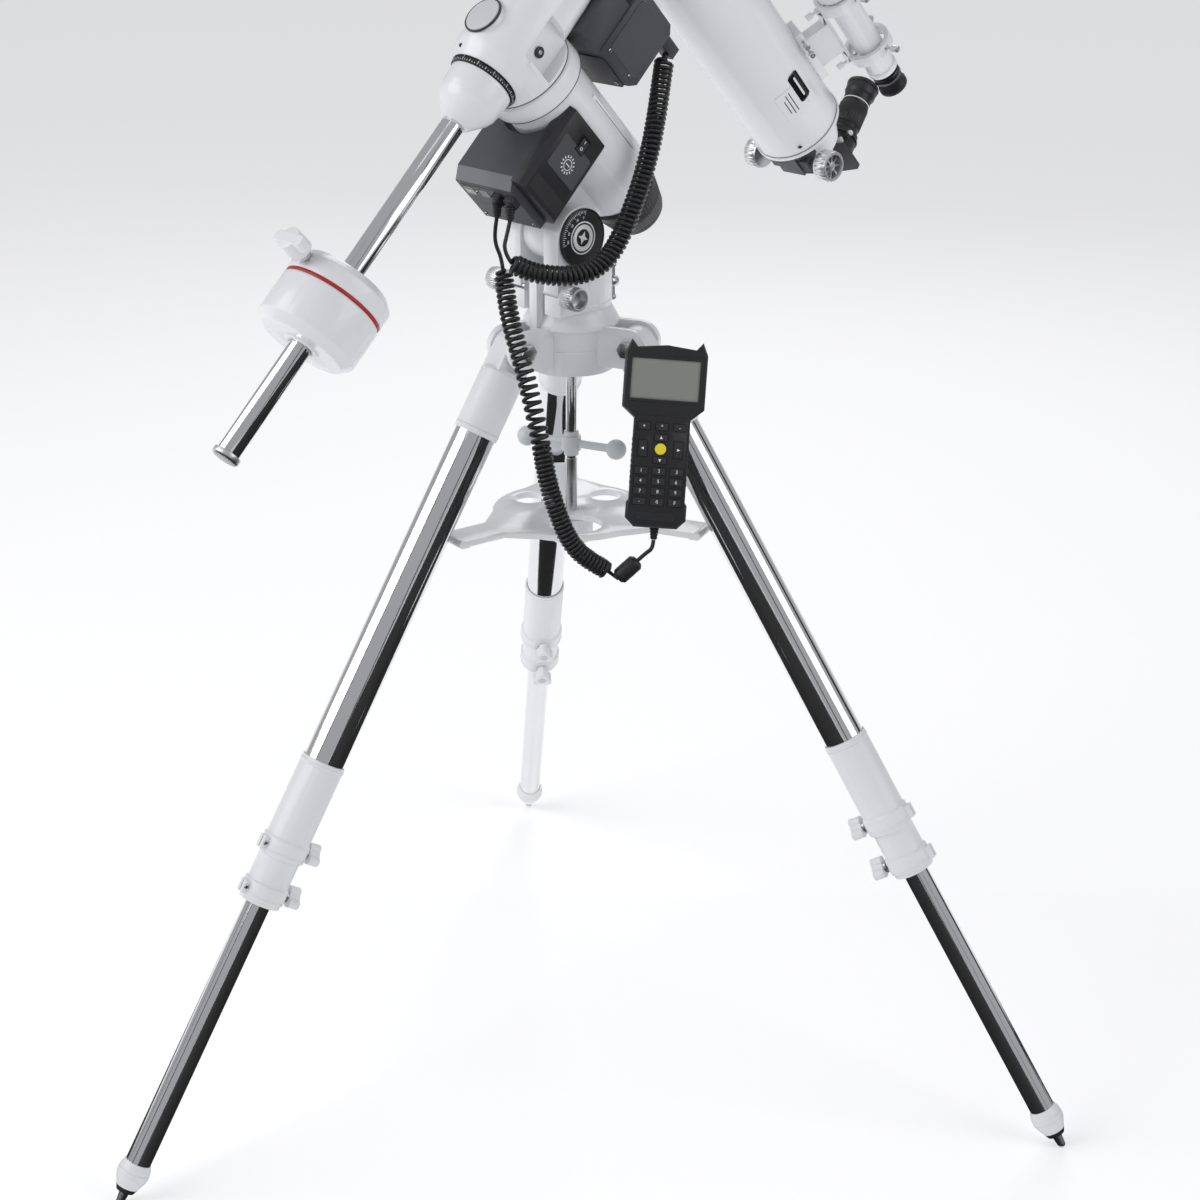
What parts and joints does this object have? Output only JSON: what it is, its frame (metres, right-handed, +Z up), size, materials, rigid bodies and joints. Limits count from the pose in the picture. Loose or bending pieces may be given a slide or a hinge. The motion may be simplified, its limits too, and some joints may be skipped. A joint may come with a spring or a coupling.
{
  "type": "telescope on tripod",
  "caption": "Small white refractor telescope on a motorised equatorial mount with counterweight, hand controller on a curly cord, and a folding tripod with spreader tray",
  "frame": {"origin": "on the floor under the tripod's axis, level with the three foot tips", "axes": "+Z up; -Y is the horizontal direction the polar axis and the tube's front point to; +X is to the right of someone facing +Y"},
  "size_m": [0.9303, 0.9943, 1.5683],
  "materials": {
    "white_paint": "satin",
    "white_plastic": "gloss",
    "chrome": "polished",
    "steel": "satin",
    "silver": "machined",
    "black_plastic": "matte",
    "grey_plastic": "textured",
    "rubber": "matte",
    "glass": "coated"
  },
  "bodies": {
    "root": {"hub": "white_paint", "hinge_bolts": "steel", "handset_holder": "black_plastic", "cord_b_coil": "rubber", "cord_b_bead": "black_plastic", "cord_b_tail": "rubber"},
    "leg_1": {"leg_1_top": "white_plastic", "leg_1_tube": "chrome", "leg_1_sleeve": "white_plastic"},
    "leg_1_lower": {"leg_1_lower": "silver"},
    "leg_1_upper_knob": {"leg_1_upper_knob": "white_plastic"},
    "leg_1_lower_knob": {"leg_1_lower_knob": "white_plastic"},
    "leg_2": {"leg_2_top": "white_plastic", "leg_2_tube": "chrome", "leg_2_sleeve": "white_plastic"},
    "leg_2_lower": {"leg_2_lower": "silver"},
    "leg_2_upper_knob": {"leg_2_upper_knob": "white_plastic"},
    "leg_2_lower_knob": {"leg_2_lower_knob": "white_plastic"},
    "leg_3": {"leg_3_top": "white_plastic", "leg_3_tube": "chrome", "leg_3_sleeve": "white_plastic"},
    "leg_3_lower": {"leg_3_lower": "silver"},
    "leg_3_upper_knob": {"leg_3_upper_knob": "white_plastic"},
    "leg_3_lower_knob": {"leg_3_lower_knob": "white_plastic"},
    "rod": {"centre_rod": "chrome", "tee_handle": "white_plastic"},
    "spreader": {"spreader_plate": "white_paint"},
    "tension_knob": {"tension_knob": "white_plastic"},
    "azimuth": {"mount_base": "white_paint", "latitude_dial": "black_plastic"},
    "azimuth_knobs": {"azimuth_knobs": "silver"},
    "latitude_screw": {"latitude_screw": "steel"},
    "altitude": {"ra_housing": "white_paint", "ra_end_cap": "black_plastic", "motor_box": "grey_plastic", "cord_a_coil": "rubber", "cord_a_lead": "rubber", "cord_b_lead": "rubber"},
    "power_switch": {"power_switch": "black_plastic"},
    "ra": {"dec_housing": "white_paint", "dec_motor_cover": "grey_plastic", "cord_a_plug": "black_plastic"},
    "dec": {"shaft_cone": "white_paint", "weight_shaft": "chrome", "saddle": "white_paint", "tube_rings": "white_paint", "tube": "white_paint", "dew_shield": "white_paint", "lens": "glass", "focuser": "white_paint", "finder_bracket": "white_paint", "finder": "white_paint"},
    "weight": {"counterweight": "white_paint"},
    "weight_knob": {"weight_knob": "white_plastic"},
    "drawtube": {"drawtube": "silver"},
    "focus_knobs": {"focus_knobs": "silver"},
    "diagonal": {"diagonal": "black_plastic"},
    "eyepiece": {"eyepiece": "black_plastic"},
    "handset": {"handset_case": "black_plastic"},
    "handset_keys": {"handset_keys": "rubber"}
  },
  "joints": [
    {"name": "leg_1_fold", "type": "hinge", "parent": "root", "child": "leg_1", "pos_m": [0.06102, 0.02515, 0.776], "axis": [-0.3811, 0.9245, 0], "range_deg": [0, 15]},
    {"name": "leg_1_extend", "type": "slide", "parent": "leg_1", "child": "leg_1_lower", "axis": [0.4817, 0.1985, -0.8536], "range_m": [-0.27, 0.1]},
    {"name": "leg_1_upper_knob_turn", "type": "hinge", "parent": "leg_1", "child": "leg_1_upper_knob", "pos_m": [0.29072, 0.11983, 0.3114], "axis": [-0.7891, -0.3253, -0.521], "range_deg": [0, 180]},
    {"name": "leg_1_lower_knob_turn", "type": "hinge", "parent": "leg_1", "child": "leg_1_lower_knob", "pos_m": [0.31288, 0.12896, 0.27214], "axis": [-0.7891, -0.3253, -0.521], "range_deg": [0, 180]},
    {"name": "leg_2_fold", "type": "hinge", "parent": "root", "child": "leg_2", "pos_m": [-0.05229, 0.04027, 0.776], "axis": [-0.6101, -0.7923, 0], "range_deg": [0, 15]},
    {"name": "leg_2_extend", "type": "slide", "parent": "leg_2", "child": "leg_2_lower", "axis": [-0.4128, 0.3179, -0.8536], "range_m": [-0.27, 0.1]},
    {"name": "leg_2_upper_knob_turn", "type": "hinge", "parent": "leg_2", "child": "leg_2_upper_knob", "pos_m": [-0.24913, 0.19186, 0.3114], "axis": [0.6763, -0.5208, -0.521], "range_deg": [0, 180]},
    {"name": "leg_2_lower_knob_turn", "type": "hinge", "parent": "leg_2", "child": "leg_2_lower_knob", "pos_m": [-0.26812, 0.20648, 0.27214], "axis": [0.6763, -0.5208, -0.521], "range_deg": [0, 180]},
    {"name": "leg_3_fold", "type": "hinge", "parent": "root", "child": "leg_3", "pos_m": [-0.00873, -0.06542, 0.776], "axis": [0.9912, -0.1323, 0], "range_deg": [0, 15]},
    {"name": "leg_3_extend", "type": "slide", "parent": "leg_3", "child": "leg_3_lower", "axis": [-0.0689, -0.5164, -0.8536], "range_m": [-0.27, 0.1]},
    {"name": "leg_3_upper_knob_turn", "type": "hinge", "parent": "leg_3", "child": "leg_3_upper_knob", "pos_m": [-0.04159, -0.31168, 0.3114], "axis": [0.1129, 0.8461, -0.521], "range_deg": [0, 180]},
    {"name": "leg_3_lower_knob_turn", "type": "hinge", "parent": "leg_3", "child": "leg_3_lower_knob", "pos_m": [-0.04476, -0.33544, 0.27214], "axis": [0.1129, 0.8461, -0.521], "range_deg": [0, 180]},
    {"name": "rod_turn", "type": "hinge", "parent": "root", "child": "rod", "pos_m": [0, 0, 0.7], "axis": [0, 0, 1], "continuous": true},
    {"name": "spreader_turn", "type": "hinge", "parent": "root", "child": "spreader", "pos_m": [0, 0, 0.597], "axis": [0, 0, 1], "range_deg": [0, 60]},
    {"name": "tension_knob_turn", "type": "hinge", "parent": "rod", "child": "tension_knob", "pos_m": [0, 0, 0.58], "axis": [0, 0, 1], "continuous": true},
    {"name": "azimuth_turn", "type": "hinge", "parent": "root", "child": "azimuth", "pos_m": [0, 0, 0.83], "axis": [0, 0, 1], "range_deg": [-6, 6], "deforming": ["cord_b_coil", "cord_b_lead"]},
    {"name": "azimuth_knobs_turn", "type": "hinge", "parent": "azimuth", "child": "azimuth_knobs", "pos_m": [0, -0.046, 0.832], "axis": [1, 0, 0], "continuous": true},
    {"name": "latitude_screw_turn", "type": "hinge", "parent": "azimuth", "child": "latitude_screw", "pos_m": [0, 0.056, 0.822], "axis": [0, 1, 0], "continuous": true},
    {"name": "latitude_tilt", "type": "hinge", "parent": "azimuth", "child": "altitude", "pos_m": [0, -0.022, 0.8835], "axis": [1, 0, 0], "range_deg": [-12, 20], "deforming": ["cord_b_lead", "cord_a_coil", "cord_a_lead"]},
    {"name": "power_switch_rock", "type": "hinge", "parent": "altitude", "child": "power_switch", "pos_m": [0.0445, -0.02994, 0.97177], "axis": [0, 0.6884, -0.7254], "range_deg": [-8, 8]},
    {"name": "polar_turn", "type": "hinge", "parent": "altitude", "child": "ra", "pos_m": [0, -0.0455, 1.02594], "axis": [0, 0.6884, -0.7254], "range_deg": [-90, 90], "deforming": ["cord_a_coil"]},
    {"name": "declination_turn", "type": "hinge", "parent": "ra", "child": "dec", "pos_m": [0, -0.07992, 1.06221], "axis": [0, 0.7254, 0.6884], "continuous": true},
    {"name": "weight_slide", "type": "slide", "parent": "dec", "child": "weight", "axis": [0, 0.7254, 0.6884], "range_m": [-0.1, 0.15]},
    {"name": "weight_knob_turn", "type": "hinge", "parent": "weight", "child": "weight_knob", "pos_m": [0, -0.32143, 0.91574], "axis": [0, 0.6884, -0.7254], "range_deg": [0, 180]},
    {"name": "focus_slide", "type": "slide", "parent": "dec", "child": "drawtube", "axis": [0, 0.6884, -0.7254], "range_m": [0, 0.065]},
    {"name": "focus_knobs_turn", "type": "hinge", "parent": "dec", "child": "focus_knobs", "pos_m": [0, 0.3149, 0.90474], "axis": [1, 0, 0], "range_deg": [-340, 0]},
    {"name": "diagonal_turn", "type": "hinge", "parent": "drawtube", "child": "diagonal", "pos_m": [0, 0.35101, 0.90592], "axis": [0, 0.6884, -0.7254], "continuous": true},
    {"name": "eyepiece_slide", "type": "slide", "parent": "diagonal", "child": "eyepiece", "axis": [-0.1822, 0.7132, 0.6768], "range_m": [0, 0.03]},
    {"name": "handset_lift", "type": "slide", "parent": "root", "child": "handset", "axis": [-0.1872, 0.2738, 0.9434], "range_m": [0, 0.03], "deforming": ["cord_b_tail"]},
    {"name": "keys_press", "type": "slide", "parent": "handset", "child": "handset_keys", "axis": [-0.686, 0.651, -0.325], "range_m": [0, 0.0008], "stiffness_N_per_m": 800, "springref_m": -0.0006}
  ],
  "couplings": [
    {"joint": "leg_2_fold", "follows": "leg_1_fold", "ratio": 1},
    {"joint": "leg_3_fold", "follows": "leg_1_fold", "ratio": 1},
    {"joint": "spreader_turn", "follows": "leg_1_fold", "ratio": 4},
    {"joint": "focus_knobs_turn", "follows": "focus_slide", "rad_per_m": -90}
  ]
}
